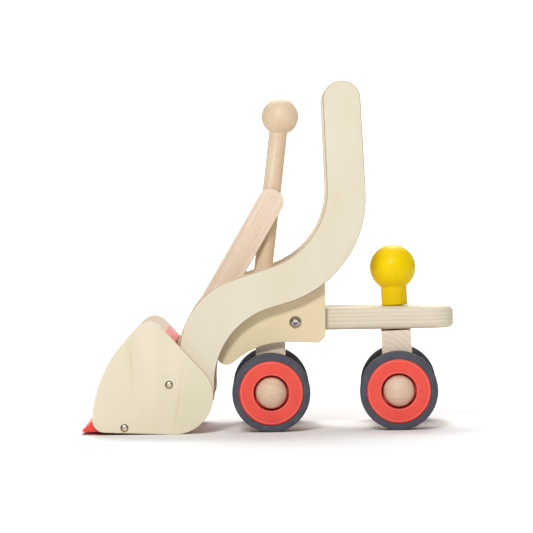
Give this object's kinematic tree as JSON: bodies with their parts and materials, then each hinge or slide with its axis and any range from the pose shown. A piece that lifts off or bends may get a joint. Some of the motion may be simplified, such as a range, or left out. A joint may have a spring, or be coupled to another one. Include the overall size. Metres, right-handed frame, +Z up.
{
  "type": "wooden toy front loader",
  "caption": "Wooden push-along toy loader: plywood board on rubber-tyred wheels, steered rear axle with ball knob, long lifting arms and a lever-tipped bucket.",
  "frame": {"origin": "on the ground under the middle of the whole toy's bounding box", "axes": "-X towards the bucket at the front, +X towards the rear, -Y towards the vehicle's left side, +Z up"},
  "size_m": [0.3601, 0.172, 0.3354],
  "materials": {
    "birch_plywood": "pale birch plywood, clear satin lacquer, laminations showing on the edges",
    "beech": "turned and sawn solid beech, clear satin lacquer",
    "red_paint": "bright red paint on wood, satin",
    "yellow_paint": "bright yellow paint on wood, gloss",
    "tyre_rubber": "dark grey matt rubber",
    "chrome": "bright plated steel",
    "steel": "zinc-plated steel"
  },
  "bodies": {
    "root": {"board": "birch_plywood", "front_block": "beech", "front_block_dowels": "beech", "front_axle": "beech", "bracket_left": "birch_plywood", "bracket_right": "birch_plywood", "bracket_dowels": "beech", "bracket_bolts": "chrome", "bolt_inserts": "steel", "lift_dowel": "beech", "cap_front_left": "beech", "cap_front_right": "beech"},
    "boom": {"arm_left": "birch_plywood", "arm_right": "birch_plywood", "grip_bar": "beech"},
    "lever": {"lever_rod": "beech", "lever_ball": "beech", "lever_pin": "beech"},
    "links": {"link_left": "beech", "link_right": "beech"},
    "bucket": {"bucket_side_left": "birch_plywood", "bucket_side_right": "birch_plywood", "bucket_wall": "red_paint", "bucket_floor": "red_paint", "bucket_lug": "beech", "lug_dowels": "beech", "bucket_dowel": "beech", "bucket_screws": "steel", "lug_pin": "beech"},
    "steering": {"rear_block": "beech", "rear_axle": "beech", "steering_post": "beech", "steering_knob": "yellow_paint", "cap_rear_left": "beech", "cap_rear_right": "beech"},
    "wheel_front_left": {"disc_front_left": "red_paint", "tyre_front_left": "tyre_rubber"},
    "wheel_front_right": {"disc_front_right": "red_paint", "tyre_front_right": "tyre_rubber"},
    "wheel_rear_left": {"disc_rear_left": "red_paint", "tyre_rear_left": "tyre_rubber"},
    "wheel_rear_right": {"disc_rear_right": "red_paint", "tyre_rear_right": "tyre_rubber"}
  },
  "joints": [
    {"name": "arm_lift", "type": "hinge", "parent": "root", "child": "boom", "pos_m": [-0.0055, 0, 0.1355], "axis": [0, 1, 0], "range_deg": [0, 45]},
    {"name": "lever_pull", "type": "hinge", "parent": "boom", "child": "lever", "pos_m": [-0.0055, 0, 0.1355], "axis": [0, 1, 0], "range_deg": [-28, 4]},
    {"name": "link_swing", "type": "hinge", "parent": "lever", "child": "links", "pos_m": [0.00515, 0, 0.21983], "axis": [0, 1, 0], "range_deg": [-4, 24]},
    {"name": "bucket_tip", "type": "hinge", "parent": "boom", "child": "bucket", "pos_m": [-0.068, 0, 0.03801], "axis": [0, 1, 0], "range_deg": [-35, 5]},
    {"name": "rear_steer", "type": "hinge", "parent": "root", "child": "steering", "pos_m": [0.1276, 0, 0.0376], "axis": [-0.0349, 0, 0.9994], "range_deg": [-28, 32]},
    {"name": "wheel_front_left_spin", "type": "hinge", "parent": "root", "child": "wheel_front_left", "pos_m": [0.0027, 0, 0.0375], "axis": [0, 1, 0], "continuous": true},
    {"name": "wheel_rear_left_spin", "type": "hinge", "parent": "steering", "child": "wheel_rear_left", "pos_m": [0.1276, 0, 0.0376], "axis": [0.0349, 0.9994, 0.0012], "continuous": true},
    {"name": "wheel_front_right_spin", "type": "hinge", "parent": "root", "child": "wheel_front_right", "pos_m": [0.0027, 0, 0.0375], "axis": [0, 1, 0], "continuous": true},
    {"name": "wheel_rear_right_spin", "type": "hinge", "parent": "steering", "child": "wheel_rear_right", "pos_m": [0.1276, 0, 0.0376], "axis": [0.0349, 0.9994, 0.0012], "continuous": true}
  ],
  "couplings": [
    {"joint": "bucket_tip", "follows": "lever_pull", "ratio": 1.22},
    {"joint": "link_swing", "follows": "lever_pull", "ratio": -0.83}
  ]
}
